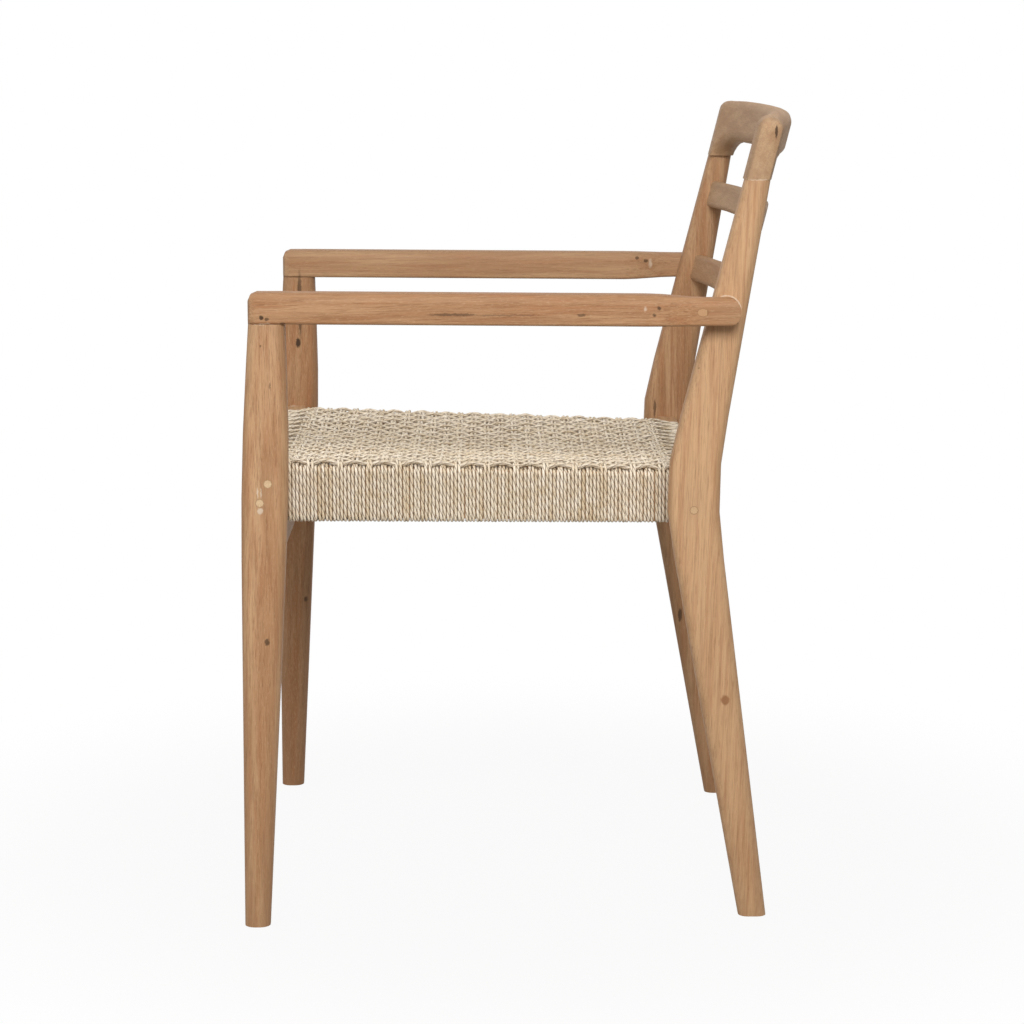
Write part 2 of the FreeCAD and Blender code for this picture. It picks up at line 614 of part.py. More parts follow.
FRONT_WRAP_REAR = f"({FRONT_RAIL_Y} + dims.rail_thickness / 2 + dims.cord_gap)"
BACK_WRAP_FRONT = f"({BACK_RAIL_Y} - dims.rail_thickness / 2 - dims.cord_gap)"
both_side_rails = list(side_rails.values())
front_winding = rail_winding("front_winding", FRONT_RAIL_Y, FRONT_RAIL_Z, "dims.weave_front_x")
back_winding = rail_winding("back_winding", BACK_RAIL_Y, BACK_RAIL_Z, "dims.weave_back_x")
wound("front_wrap", front_winding, [front_core] + both_side_rails)
wound("back_wrap", back_winding, [back_core] + both_side_rails)
side_windings = []
for end, side in SIDES:
    winding = side_bar(f"side_winding_{end}", side, FRONT_WRAP_REAR, BACK_WRAP_FRONT, "dims.cord")
    side_windings.append(winding)
    wound(f"side_wrap_{end}", winding, [side_rails[end]])


WOUND_SIDE = "(2 * dims.cord + dims.side_rail_thickness + dims.cord_gap)"
WEAVE_COLUMNS = 9
WEAVE_ROWS = 9


def seat_panel(name):
    """The woven top, two cords thick, between the windings."""
    def rectangle(y, half_x, top):
        reach = f"({half_x} - {WOUND_SIDE})"
        return y, f"-{reach}", reach, f"({top} - 2 * dims.cord)", top

    return wedge(name, rectangle(FRONT_WRAP_REAR, "dims.weave_front_x", "dims.seat_height"),
                 rectangle(BACK_WRAP_FRONT, "dims.weave_back_x", BACK_SEAT_TOP))


def seat_openings(name):
    """Plain openings through the woven top, for the gaps between its cords."""
    length = f"({BACK_WRAP_FRONT} - {FRONT_WRAP_REAR})"
    middle_z = "(dims.seat_height - dims.seat_fall / 2 - dims.cord)"
    boxes = []
    for row in range(WEAVE_ROWS):
        share = (row + 0.5) / WEAVE_ROWS
        y = f"({FRONT_WRAP_REAR} + {share} * {length})"
        edge = f"(dims.weave_front_x + (dims.weave_back_x - dims.weave_front_x) * {share})"
        half_x = f"({edge} - {WOUND_SIDE})"
        half = (f"(dims.weave_open * {half_x} / {WEAVE_COLUMNS})",
                f"(dims.weave_open * {length} / {2 * WEAVE_ROWS})",
                "(dims.seat_fall / 2 + 2 * dims.cord)")
        for column in range(WEAVE_COLUMNS):
            x = f"({(2 * column + 1) / WEAVE_COLUMNS - 1} * {half_x})"
            boxes.append(centred_block(f"{name}_{row}_{column}", (x, y, middle_z), half))
    group = doc.addObject("Part::Compound", name)
    group.Links = boxes
    return group


finished("seat_weave", cut("seat_weave", seat_panel("seat_panel"),
                           side_windings + [seat_openings("seat_opening")]))


# Pegs through the legs into the rails' ends, pegs through the arms into the posts, and loose tenons.

def peg_room(name, side, y, z, outer_x, leg_width):
    """A plain block round the inner length of a level peg, from the middle of its leg inwards."""
    centre = (f"{side} * ({outer_x} - {leg_width} / 2 - dims.peg_length / 2)", y, z)
    return centred_block(name, centre, ("dims.peg_length / 2", "dims.peg_diameter", "dims.peg_diameter"))


def trimmed_peg(name, outer, direction, hosts):
    """A peg whose outer end is cut off flush; direction points outwards, level, as two expressions."""
    along_x, along_y = direction
    base = (f"({outer[0]} - {along_x} * dims.peg_length)",
            f"({outer[1]} - {along_y} * dims.peg_length)", outer[2])
    spare = "(dims.peg_length + 2 * dims.peg_diameter)"
    blank = peg(f"{name}_blank", spare, base, (f"-{along_y}", along_x, "0"))
    return blank, shared(name, blank, joined(f"{name}_hosts", hosts))


rail_pegs = []
arm_pegs = []
arm_tenons = []
crest_tenons = []
leg_bores = {end: [] for end in front_blanks}
post_bores = {end: [] for end in back_blanks}
arm_bores = {end: [] for end in arm_blanks}
front_rail_bores = []
back_rail_bores = []
for end, side in SIDES:
    for sign, level in ((1, "upper"), (-1, "lower")):
        z = f"(dims.seat_height - dims.front_peg_drop + {sign} * dims.front_peg_pitch / 2)"
        y = f"({FRONT_RAIL_Y} + {sign} * dims.front_peg_stagger / 2)"
        outer_x = f"({front_leg_x(z)} + {front_leg_width(z)} / 2)"
        room = peg_room(f"front_{level}_room_{end}", side, y, z, outer_x, front_leg_width(z))
        blank, trimmed = trimmed_peg(f"front_{level}_peg_{end}", (f"{side} * {outer_x}", y, z),
                                     (f"{side}", "0"), [front_blanks[end], room])
        rail_pegs.append(trimmed)
        leg_bores[end].append(blank)
        front_rail_bores.append(blank)
    z = f"({BACK_SEAT_TOP} - dims.back_peg_drop)"
    outer_x = f"(dims.back_leg_x + {back_leg_width(z)} / 2)"
    room = peg_room(f"back_room_{end}", side, BACK_RAIL_Y, z, outer_x, back_leg_width(z))
    blank, trimmed = trimmed_peg(f"back_peg_{end}", (f"{side} * {outer_x}", BACK_RAIL_Y, z),
                                 (f"{side}", "0"), [back_blanks[end], room])
    rail_pegs.append(trimmed)
    post_bores[end].append(blank)
    back_rail_bores.append(blank)

    # The arm's peg runs backwards and inwards into the post.
    slant = "dims.arm_peg_angle * 1 deg"
    outer = (f"{side} * ({ARM_END_X} + dims.arm_end_width / 2)",
             f"({POST_AT_ARM_Y} - dims.arm_peg_lead)", ARM_END_Z)
    blank, trimmed = trimmed_peg(f"arm_peg_{end}", outer, (f"({side} * cos({slant}))", f"(-sin({slant}))"),
                                 [arm_blanks[end], back_blanks[end]])
    arm_pegs.append(trimmed)
    arm_bores[end].append(blank)
    post_bores[end].append(blank)

    # Loose tenons stand between leg and arm, and between post and crest rail.
    arm_tenon = centred_block(f"arm_tenon_{end}",
                              (f"{side} * dims.front_top_x",
                               f"({ARM_FRONT_Y} + {FRONT_TOP_DEPTH} / 2)", ARM_UNDER),
                              ("dims.loose_tenon_thickness / 2", "dims.loose_tenon_width / 2",
                               "dims.loose_tenon_length / 2"))
    crest_tenon = centred_block(f"crest_tenon_{end}",
                                (f"{side} * dims.back_leg_x", POST_TOP_Y, CREST_JOINT),
                                ("dims.loose_tenon_width / 2", "dims.loose_tenon_thickness / 2",
                                 "dims.loose_tenon_length / 2"))
    arm_tenons.append(arm_tenon)
    crest_tenons.append(crest_tenon)
    leg_bores[end].append(arm_tenon)
    arm_bores[end].append(arm_tenon)
    post_bores[end].append(crest_tenon)

grouped("rail_pegs", rail_pegs)
grouped("arm_pegs", arm_pegs)
grouped("arm_tenons", arm_tenons)
grouped("crest_tenons", crest_tenons)


# Finished frame: blanks with their mortises, housings and bores.

for end, side in SIDES:
    finished(f"front_leg_{end}", cut(f"front_leg_{end}", front_blanks[end],
                                     [front_core, apron_tenons] + leg_bores[end]))
    finished(f"back_leg_{end}", cut(f"back_leg_{end}", back_blanks[end],
                                    [back_core] + upper_tenons + lower_tenons + post_bores[end]))
    waste = arm_tip_waste(f"arm_tip_{end}", side)
    finished(f"armrest_{end}", cut(f"armrest_{end}", arm_blanks[end],
                                   [waste, back_blanks[end]] + arm_bores[end]))
finished("crest_rail", cut("crest_rail", crest_body, [crest_floor] + crest_tenons))
front_rail_blank = joined("front_rail_blank", [front_core] + front_shoulders)
back_rail_blank = joined("back_rail_blank", [back_core] + back_shoulders)
finished("front_seat_rail", cut("front_seat_rail", front_rail_blank, front_side_tenons + front_rail_bores))
finished("back_seat_rail", cut("back_seat_rail", back_rail_blank, back_side_tenons + back_rail_bores))

doc.recompute()

# Every sub-part is sound before its file is written.
for feature in doc.Objects:
    if "Invalid" in feature.State or "Error" in feature.State:
        raise RuntimeError(f"{feature.Label} did not build: {feature.State}")
os.makedirs("parts", exist_ok=True)
for piece in pieces:
    if piece.Shape.isNull() or not piece.Shape.isValid() or not piece.Shape.Solids:
        raise RuntimeError(f"{piece.Label} is not a sound solid")
    piece.Shape.exportStep(f"parts/{piece.Label}.step")
    print(f"{piece.Label}: {len(piece.Shape.Solids)} solid(s)")
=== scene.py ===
import math
import random

import bmesh
import bpy
import numpy
from bpy.props import FloatProperty, FloatVectorProperty, IntProperty, PointerProperty
from mathutils import Matrix, Vector


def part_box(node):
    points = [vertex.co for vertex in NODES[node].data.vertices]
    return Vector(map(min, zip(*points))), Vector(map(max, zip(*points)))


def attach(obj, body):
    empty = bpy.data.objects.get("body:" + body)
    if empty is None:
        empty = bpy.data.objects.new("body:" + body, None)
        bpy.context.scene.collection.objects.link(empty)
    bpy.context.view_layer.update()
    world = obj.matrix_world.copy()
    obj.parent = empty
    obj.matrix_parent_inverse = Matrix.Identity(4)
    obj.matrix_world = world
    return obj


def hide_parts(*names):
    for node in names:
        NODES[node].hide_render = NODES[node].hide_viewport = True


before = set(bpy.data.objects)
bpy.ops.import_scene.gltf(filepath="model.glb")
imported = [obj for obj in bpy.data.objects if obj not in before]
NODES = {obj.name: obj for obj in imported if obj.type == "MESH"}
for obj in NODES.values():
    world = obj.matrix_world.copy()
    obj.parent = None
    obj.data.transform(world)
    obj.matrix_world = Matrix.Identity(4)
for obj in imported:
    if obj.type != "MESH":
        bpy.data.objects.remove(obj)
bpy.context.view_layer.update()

bl_info = {
    "name": "Garden Armchair",
    "version": (1, 0, 0),
    "blender": (4, 5, 0),
    "location": "View3D > Sidebar > Armchair",
    "description": "Dresses the garden armchair's frame in teak and weaves its cord seat",
    "category": "Object",
}

MM = 0.001
FRONT_LOW, FRONT_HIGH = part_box("front_wrap")
BACK_LOW, BACK_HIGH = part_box("back_wrap")


# Settings

def linear(hex_colour):
    """An sRGB hex colour as linear red, green, blue and alpha."""
    channels = [int(hex_colour[start:start + 2], 16) / 255 for start in (1, 3, 5)]
    return [c / 12.92 if c <= 0.04045 else ((c + 0.055) / 1.055) ** 2.4 for c in channels] + [1.0]


def colour_property(name, description, hex_colour):
    return FloatVectorProperty(name=name, description=description, subtype="COLOR", size=4,
                               min=0, max=1, default=linear(hex_colour))


def length_property(name, description, millimetres):
    return FloatProperty(name=name, description=description, unit="LENGTH", default=millimetres * MM)


def angle_property(name, description, degrees):
    return FloatProperty(name=name, description=description, subtype="ANGLE", default=math.radians(degrees))


class ArmchairWood(bpy.types.PropertyGroup):
    """Colours and growth of the teak and the pegs"""
    pale: colour_property("Pale wood", "Early growth of the teak", "#CDA47B")
    warm: colour_property("Warm wood", "Main colour of the teak", "#B58860")
    red: colour_property("Red wood", "Redder streaks of the teak", "#A66F49")
    dark: colour_property("Dark wood", "Late growth and pores of the teak", "#875D3B")
    grey: colour_property("Grey edges", "Greyer rounded edges and greyer whole planks of the teak", "#A0866A")
    deep: colour_property("Deep wood", "Darkest planks of the teak", "#84532F")
    fleck: colour_property("Flecks", "Pale flecks that sanding leaves in the pores", "#E3C6A2")
    knot: colour_property("Knots", "Heart of the small knots", "#33200F")
    peg: colour_property("Pegs", "Sawn ends of the pegs", "#D9BC94")
    filler: colour_property("Filler", "Pale putty and dried glue", "#E2D2BC")
    ring: length_property("Growth ring", "Width of a growth ring", 7)


class ArmchairCord(bpy.types.PropertyGroup):
    """Colours and sizes of the seat's cord and its weave"""
    light: colour_property("Light cord", "Fresh paper cord", "#F8ECD8")
    shade: colour_property("Shaded cord", "Darker stretches of the paper cord", "#DAC4A2")
    # The groove colour is painted shade: it darkens the line between the two plies and the sides where neighbouring
    # cords touch.
    groove_shade: colour_property("Groove", "Painted shade in the groove between the two plies and between neighbouring cords", "#6A4E2E")
    diameter: length_property("Cord", "Diameter of the paper cord", 3.6)
    lay: length_property("Lay", "Length of one full turn of the two plies", 19)
    strand: length_property("Strand pitch", "Distance between neighbouring cords of a winding or a pair", 3.7)
    sag: length_property("Sag", "Sag in the middle of the seat", 6)
    rise: length_property("Rise", "How far a cord rises and falls in the weave", 1.35)
    cross_pairs: IntProperty(name="Cross pairs", description="Evenly spaced pairs of cord from side to side",
                             default=26)
    long_pairs: IntProperty(name="Long pairs", description="Pairs of cord from front to back", default=27)


class ArmchairStage(bpy.types.PropertyGroup):
    """Camera, light and floor"""
    floor: colour_property("Floor", "Plain floor, as it throws light back", "#8E8B86")
    camera_place: FloatVectorProperty(name="Camera", description="Place of the camera", subtype="TRANSLATION",
                                      unit="LENGTH", default=(3.1578, -0.0397, 0.9133))
    yaw: angle_property("Yaw", "Turn of the camera", 0.465)
    pitch: angle_property("Pitch", "Downward tilt of the camera", 9.699)
    roll: angle_property("Roll", "Roll of the camera", 0.091)
    lens: FloatProperty(name="Lens", description="Focal length of the camera", unit="CAMERA", default=104.48)
    sky: FloatProperty(name="Sky", description="Strength of the even light all round", default=0.4)
    key: FloatProperty(name="Key light", description="Power of the large lamp", unit="POWER", default=60)


# Materials

# Layers that run along the grain of the teak: width and length of their streaks in millimetres, and detail.
# Real pores and the flecks of sanding in them are about 0.3 mm wide, which is too fine to show in the render, so
# they and the fine streaks are drawn as coarse as they need to show.
LAYERS = {"bands": (13, 230, 2.0), "reds": (5, 110, 2.0), "streaks": (1.7, 60, 3.0), "pores": (0.9, 20, 2.0),
          "flecks": (0.8, 5, 2.0)}
# Scale of the growth rings along the grain, which draws them out.
RING_STRETCH = 0.06
# The figure of the teak: layer, the values where it starts and is full, its strength and its colour.
FIGURE = (
    ("reds", 0.46, 0.72, 0.55, "red"),
    ("rings", 0.5, 1.0, 0.18, "dark"),
    ("streaks", 0.47, 0.74, 0.45, "dark"),
    ("pores", 0.5, 0.74, 0.6, "dark"),
    ("flecks", 0.5, 0.78, 0.18, "fleck"),
)
# Small marks in the wood, in millimetres: colour, middle, half sizes and how strongly they show.
MARKS = (
    ("knot", (284, -258.2, 290.8), (10, 3.0, 4.0), 0.75),
    ("knot", (-247, -252.4, 227.1), (10, 4.0, 5.0), 0.75),
    ("deep", (254, 197.8, 225.8), (10, 5.0, 6.0), 0.75),
    ("knot", (-225, 183.2, 213.7), (10, 2.8, 9.0), 0.75),
    ("knot", (268, 126.8, 621.5), (8, 3.2, 2.8), 0.8),
    ("knot", (267, 122.1, 614.5), (8, 3.2, 2.6), 0.8),
    ("knot", (272, -74.0, 614.8), (8, 27.0, 1.5), 0.6),
    ("knot", (272, -20.0, 614.4), (8, 36.0, 1.0), 0.4),
    ("knot", (272, 51.0, 614.5), (8, 4.5, 1.4), 0.6),
    ("deep", (272, -10.0, 609.5), (8, 110.0, 3.5), 0.35),
    ("knot", (-240, 130.4, 627.3), (8, 3.0, 2.4), 0.7),
    ("knot", (-241, 140.8, 623.8), (8, 3.0, 2.4), 0.7),
    ("knot", (272, -260.7, 611.8), (5, 2.2, 2.6), 0.9),
    ("knot", (272, -255.7, 610.3), (5, 2.4, 2.2), 0.7),
    ("knot", (272, -240.2, 606.2), (5, 3.2, 1.1), 0.6),
    ("knot", (272, -261.9, 584.2), (5, 1.0, 1.3), 0.6),
    ("knot", (272, -253.2, 545.0), (5, 0.9, 4.0), 0.45),
    ("knot", (-236, -255.4, 572.0), (8, 3.0, 44.0), 0.7),
    ("knot", (-236, -257.9, 529.7), (8, 3.4, 7.0), 0.95),
    ("knot", (-224, 151.4, 456.0), (8, 1.7, 12.0), 0.6),
    ("knot", (256, 167.5, 561.0), (4, 1.1, 1.1), 0.5),
    ("knot", (256, 239.8, 792.0), (6, 1.8, 7.0), 0.85),
    ("filler", (266, 113.3, 620.1), (8, 2.2, 4.2), 0.55),
    ("filler", (-241, 146.3, 621.0), (8, 2.6, 7.0), 0.5),
    ("filler", (278, -265.9, 439.5), (8, 0.9, 6.0), 0.6),
    ("filler", (278, -262.9, 439.5), (8, 0.8, 5.5), 0.5),
    ("filler", (278, -263.8, 421.8), (8, 3.1, 3.4), 0.6),
    ("filler", (272, -259.0, 605.4), (5, 13.0, 0.7), 0.5),
    ("filler", (256, 223.4, 745.0), (6, 12.0, 0.7), 0.35),
    ("filler", (-236, -264.0, 457.8), (6, 12.0, 0.9), 0.6),
)
# The marks' outlines are ragged: noise of this size moves them up to this far, in millimetres.
RAGGED_SIZE = 5
RAGGED_REACH = 2
# Beads of dried glue round the rounded ends of the arms, on the posts: middle and half sizes, in millimetres,
# and half the width of the bead as a share of them.
GLUE_RINGS = (((256.5, 193.6, 618.0), (4, 14.2, 14.2)), ((-256.5, 193.6, 618.0), (4, 14.2, 14.2)))
GLUE_HALF_WIDTH = 0.05


def add_node(tree, kind, inputs=None, **settings):
    """A node with its settings; inputs are constants or the output sockets that feed it."""
    node = tree.nodes.new(kind)
    for name, value in settings.items():
        setattr(node, name, value)
    for socket, value in (inputs or {}).items():
        if isinstance(value, bpy.types.NodeSocket):
            tree.links.new(value, node.inputs[socket])
        else:
            node.inputs[socket].default_value = value
    return node


def material(name, fill):
    """The material of a name, whose nodes are made when the first piece asks for it."""
    finish = bpy.data.materials.get(name)
    if finish is None:
        finish = bpy.data.materials.new(name)
        finish.use_nodes = True
        finish.node_tree.nodes.clear()
        fill(finish.node_tree)
    return finish


def grain_streaks(tree, grain, across, along, detail):
    """Streaks along the grain, with their width and length in millimetres."""
    scale = (1 / (across * MM), 1 / (across * MM), 1 / (along * MM))
    place = add_node(tree, "ShaderNodeMapping", {"Vector": grain, "Scale": scale}).outputs[0]
    return add_node(tree, "ShaderNodeTexNoise", {"Vector": place, "Scale": 1.0, "Detail": detail,
                                                 "Roughness": 0.55}).outputs["Fac"]


def reach_from(tree, place, middle, half):
    """How far a place is from a mark's middle, as a share of its half sizes; both are in millimetres."""
    near = add_node(tree, "ShaderNodeMapping",
                    {"Vector": place, "Location": [value * MM for value in middle],
                     "Scale": [value * MM for value in half]}, vector_type="TEXTURE").outputs[0]
    return add_node(tree, "ShaderNodeVectorMath", {0: near}, operation="LENGTH").outputs["Value"]


def seen_directly(tree):
    """One for what the eye sees straight, in a gloss or through glass, and nought for light thrown on."""
    rays = add_node(tree, "ShaderNodeLightPath").outputs
    seen = rays["Is Camera Ray"]
    for ray in ("Is Glossy Ray", "Is Transmission Ray"):
        seen = add_node(tree, "ShaderNodeMath", {0: seen, 1: rays[ray]}, operation="MAXIMUM").outputs[0]
    return seen


def teak(tree):
    """Sanded and oiled teak: tan and redder bands along the grain, fine streaks, greyer rounded edges, a dull sheen.
    """
    wood = bpy.context.scene.armchair_wood
    grain = add_node(tree, "ShaderNodeAttribute", attribute_name="grain").outputs["Vector"]
    plank = add_node(tree, "ShaderNodeAttribute", attribute_name="plank").outputs["Vector"]
    tone, figure, deep = add_node(tree, "ShaderNodeSeparateXYZ", {"Vector": plank}).outputs
    edge = add_node(tree, "ShaderNodeAttribute", attribute_name="edge").outputs["Fac"]
    place = add_node(tree, "ShaderNodeTexCoord").outputs["Object"]

    layers = {name: grain_streaks(tree, grain, *sizes) for name, sizes in LAYERS.items()}
    slow = add_node(tree, "ShaderNodeMapping", {"Vector": grain, "Scale": (1, 1, RING_STRETCH)}).outputs[0]
    # The rings' period is 2 pi / 20 of a unit at scale 1.
    layers["rings"] = add_node(tree, "ShaderNodeTexWave",
                               {"Vector": slow, "Scale": math.tau / 20 / wood.ring, "Distortion": 3.0, "Detail": 2.0,
                                "Detail Scale": 0.3, "Detail Roughness": 0.5},
                               wave_type="RINGS", rings_direction="Z", wave_profile="SAW").outputs["Fac"]
    band = add_node(tree, "ShaderNodeMapRange", {"Value": layers["bands"], "From Min": 0.36, "From Max": 0.66},
                    interpolation_type="SMOOTHSTEP").outputs[0]
    warmth = add_node(tree, "ShaderNodeMath", {0: band, 1: tone}, operation="ADD", use_clamp=True).outputs[0]

    # Coats of colour, each over the one before: its share and its colour.
    coats = [(warmth, wood.warm), (deep, wood.deep)]
    for layer, low, high, strength, tint in FIGURE:
        share = add_node(tree, "ShaderNodeMapRange", {"Value": layers[layer], "From Min": low, "From Max": high,
                                                      "To Min": 0.0, "To Max": strength},
                         interpolation_type="SMOOTHSTEP").outputs[0]
        share = add_node(tree, "ShaderNodeMath", {0: share, 1: figure}, operation="MULTIPLY").outputs[0]
        coats.append((share, getattr(wood, tint)))
    coats.append((edge, wood.grey))
    ragged = add_node(tree, "ShaderNodeTexNoise", {"Vector": place, "Scale": 1 / (RAGGED_SIZE * MM), "Detail": 4.0,
                                                   "Roughness": 0.7}).outputs["Color"]
    ragged = add_node(tree, "ShaderNodeVectorMath",
                      {0: ragged, 1: (2 * RAGGED_REACH * MM,) * 3, 2: (-RAGGED_REACH * MM,) * 3},
                      operation="MULTIPLY_ADD").outputs[0]
    ragged = add_node(tree, "ShaderNodeVectorMath", {0: place, 1: ragged}, operation="ADD").outputs[0]
    for tint, middle, half, strength in MARKS:
        mark = add_node(tree, "ShaderNodeMapRange",
                        {"Value": reach_from(tree, ragged, middle, half), "From Min": 0.6, "From Max": 1.1,
                         "To Min": strength, "To Max": 0.0}, interpolation_type="SMOOTHSTEP").outputs[0]
        coats.append((mark, getattr(wood, tint)))
    for middle, half in GLUE_RINGS:
        bead = add_node(tree, "ShaderNodeMath",
                        {0: reach_from(tree, place, middle, half), 1: 1.0, 2: GLUE_HALF_WIDTH},
                        operation="COMPARE").outputs[0]
        bead = add_node(tree, "ShaderNodeMath", {0: bead, 1: layers["pores"]}, operation="MULTIPLY").outputs[0]
        coats.append((bead, wood.filler))
    colour = wood.pale
    for share, tint in coats:
        colour = add_node(tree, "ShaderNodeMix", {"Factor": share, "A": colour, "B": tint},
                          data_type="RGBA").outputs["Result"]
    bump = add_node(tree, "ShaderNodeBump", {"Height": layers["streaks"], "Strength": 0.2, "Distance": 0.3 * MM})
    shader = add_node(tree, "ShaderNodeBsdfPrincipled",
                      {"Base Color": colour, "Normal": bump.outputs[0], "Roughness": 0.6, "IOR": 1.5,
                       "Specular IOR Level": 0.3})
    add_node(tree, "ShaderNodeOutputMaterial", {"Surface": shader.outputs[0]})


def peg_wood(tree):
    """Sawn end grain of a pale hardwood peg: small dots, a dark rim, matt."""
    wood = bpy.context.scene.armchair_wood
    rim = add_node(tree, "ShaderNodeAttribute", attribute_name="rim").outputs["Fac"]
    tone = add_node(tree, "ShaderNodeAttribute", attribute_name="tone").outputs["Fac"]
    place = add_node(tree, "ShaderNodeTexCoord").outputs["Object"]
    # Real end grain has pores of about 0.2 mm, too fine to show, so the dots are drawn coarser.
    dots = add_node(tree, "ShaderNodeTexNoise", {"Vector": place, "Scale": 1 / (1.1 * MM), "Detail": 2.0})
    speck = add_node(tree, "ShaderNodeMapRange", {"Value": dots.outputs["Fac"], "From Min": 0.45, "From Max": 0.75,
                                                  "To Min": 0.0, "To Max": 0.6}).outputs[0]
    line = add_node(tree, "ShaderNodeMapRange", {"Value": rim, "From Min": 0.1, "From Max": 0.9,
                                                 "To Min": 0.0, "To Max": 0.75}).outputs[0]
    colour = wood.peg
    for share, tint in ((tone, wood.warm), (speck, wood.warm), (line, wood.dark)):
        colour = add_node(tree, "ShaderNodeMix", {"Factor": share, "A": colour, "B": tint},
                          data_type="RGBA").outputs["Result"]
    shader = add_node(tree, "ShaderNodeBsdfPrincipled", {"Base Color": colour, "Roughness": 0.7,
                                                         "Specular IOR Level": 0.3})
    add_node(tree, "ShaderNodeOutputMaterial", {"Surface": shader.outputs[0]})


def paper_cord(tree):
    """Twisted paper cord: two smooth plies with painted shade in the groove between them and where neighbouring
    cords touch, uneven straw colour, a slight waxy sheen.
    """
    cord = bpy.context.scene.armchair_cord
    place = add_node(tree, "ShaderNodeTexCoord").outputs["Object"]
    ply_shade = add_node(tree, "ShaderNodeAttribute", attribute_name="ply_shade").outputs["Fac"]
    gap = add_node(tree, "ShaderNodeAttribute", attribute_name="gap").outputs["Fac"]
    tint = add_node(tree, "ShaderNodeAttribute", attribute_name="tint").outputs["Fac"]
    patches = add_node(tree, "ShaderNodeTexNoise", {"Vector": place, "Scale": 1 / (11 * MM), "Detail": 2.0,
                                                    "Roughness": 0.6}).outputs["Fac"]
    # Real paper fibres are far finer than a millimetre, so their mottle is drawn as coarse as it needs to show.
    fibres = add_node(tree, "ShaderNodeTexNoise", {"Vector": place, "Scale": 1 / (1.2 * MM),
                                                   "Detail": 2.0}).outputs["Fac"]
    mottle = add_node(tree, "ShaderNodeMath", {0: patches, 1: fibres}, operation="ADD").outputs[0]
    mottle = add_node(tree, "ShaderNodeMath", {0: mottle, 1: tint}, operation="ADD").outputs[0]
    share = add_node(tree, "ShaderNodeMapRange", {"Value": mottle, "From Min": 0.75, "From Max": 1.35}).outputs[0]
    coats = [(share, cord.shade)]
    # Painted shade: the groove between the plies and the sides where cords touch are darkened towards the groove
    # colour.
    for value, low, strength in ((ply_shade, 0.45, 0.9), (gap, 0.72, 0.8)):
        line = add_node(tree, "ShaderNodeMapRange", {"Value": value, "From Min": low, "From Max": 1.0,
                                                     "To Min": 0.0, "To Max": strength}).outputs[0]
        coats.append((line, cord.groove_shade))
    colour = cord.light
    for share, coat in coats:
        colour = add_node(tree, "ShaderNodeMix", {"Factor": share, "A": colour, "B": coat},
                          data_type="RGBA").outputs["Result"]
    bump = add_node(tree, "ShaderNodeBump", {"Height": fibres, "Strength": 0.3, "Distance": 0.3 * MM})
    shader = add_node(tree, "ShaderNodeBsdfPrincipled",
                      {"Base Color": colour, "Normal": bump.outputs[0], "Roughness": 0.55,
                       "Specular IOR Level": 0.4})
    add_node(tree, "ShaderNodeOutputMaterial", {"Surface": shader.outputs[0]})


def studio_floor(tree):
    """Matt pale studio floor that looks white to the eye and keeps the soft shadow."""
    stage = bpy.context.scene.armchair_stage
    place = add_node(tree, "ShaderNodeTexCoord").outputs["Object"]
    reach = add_node(tree, "ShaderNodeVectorMath", {0: place}, operation="LENGTH").outputs["Value"]
    fade = add_node(tree, "ShaderNodeMapRange", {"Value": reach, "From Min": 0.35, "From Max": 0.9,
                                                 "To Min": 0.94, "To Max": 1.0}, interpolation_type="SMOOTHSTEP")
    share = add_node(tree, "ShaderNodeMath", {0: seen_directly(tree), 1: fade.outputs[0]},
                     operation="MULTIPLY").outputs[0]
    matt = add_node(tree, "ShaderNodeBsdfDiffuse", {"Color": stage.floor})
    white = add_node(tree, "ShaderNodeEmission", {"Color": (1, 1, 1, 1), "Strength": 1.0})
    both = add_node(tree, "ShaderNodeMixShader", {0: share, 1: matt.outputs[0], 2: white.outputs[0]})
    add_node(tree, "ShaderNodeOutputMaterial", {"Surface": both.outputs[0]})


# Pieces

def shape_mesh(shape, name):
    """The mesh of a finished shape."""
    mesh = bpy.data.meshes.new(name)
    shape.to_mesh(mesh)
    shape.free()
    return mesh


def add_piece(name, mesh, finish, slot, *replaced):
    """A piece with its finish, seated on the chair in place of its solids."""
    piece = bpy.data.objects.new(name, mesh)
    mesh.materials.append(finish)
    bpy.context.scene.collection.objects.link(piece)
    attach(piece, "root")
    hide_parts(*replaced)
    return piece


# Wood pieces

# Corners that are nearer than this are joined, and an edge that turns by more than this stays sharp.
MERGE = 0.01 * MM
SHARP = math.radians(35)
# The grey of the rounded edges is full where a face turns half way between two axes.
ROUND_EDGE = 1 - math.cos(math.radians(45))
EDGE_GREY = 0.18
# The legs grow deeper in colour towards the floor, from this height down.
FOOT_DEPTH = 0.2
FOOT_REACH = 350 * MM
# Pieces that are sanded so round that their faces shade softly from edge to edge.
ROUND_PIECES = ("armrest_left", "armrest_right")
# A peg's facets within this angle are one face; its end is a face with at least this many corners, and gets a
# rim of this width.
PEG_FLAT = math.radians(4)
PEG_CORNERS = 8
PEG_RIM = 1.3 * MM
# How near the pegs at the back of the chair come to the colour of the teak.
PEG_TONES = {"rail_pegs": 0.4, "arm_pegs": 0.85}
